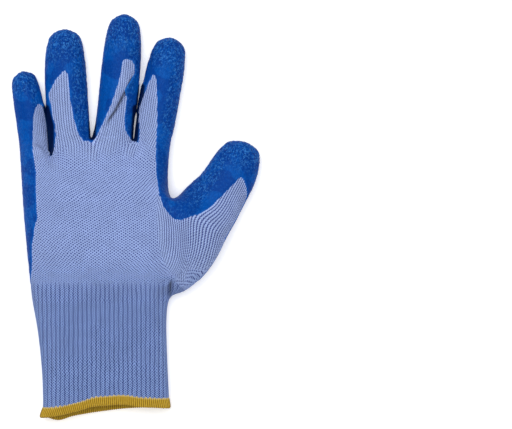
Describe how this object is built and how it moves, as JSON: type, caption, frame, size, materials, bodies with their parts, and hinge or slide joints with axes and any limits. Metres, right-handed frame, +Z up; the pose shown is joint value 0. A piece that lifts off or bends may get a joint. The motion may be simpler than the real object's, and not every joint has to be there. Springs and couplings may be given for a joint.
{
  "type": "latex coated grip glove",
  "caption": "Left-hand work glove of soft knit with a crinkled latex coating on the palm and fingertips, a ribbed cuff and an overlocked hem, laid flat.",
  "frame": {"origin": "on the surface that the glove lies on, under the middle of its outline", "axes": "+Y to the fingertips, +X to the thumb side, +Z up, out of the back of the hand"},
  "size_m": [0.157, 0.258, 0.0255],
  "materials": {
    "knit": "soft light lavender blue knit",
    "rib_knit": "ribbed elastic knit, light blue on its ribs and dark blue between them",
    "latex": "semi-gloss blue latex with a fine crinkle",
    "hem_thread": "yellow overlock thread with fine ridges"
  },
  "bodies": {
    "root": {"ribbed_cuff": "rib_knit", "knit_hand": "knit", "knit_little": "knit", "knit_ring": "knit", "knit_middle": "knit", "knit_index": "knit", "knit_thumb": "knit", "latex_coating": "latex", "cuff_hem": "hem_thread"}
  },
  "joints": []
}
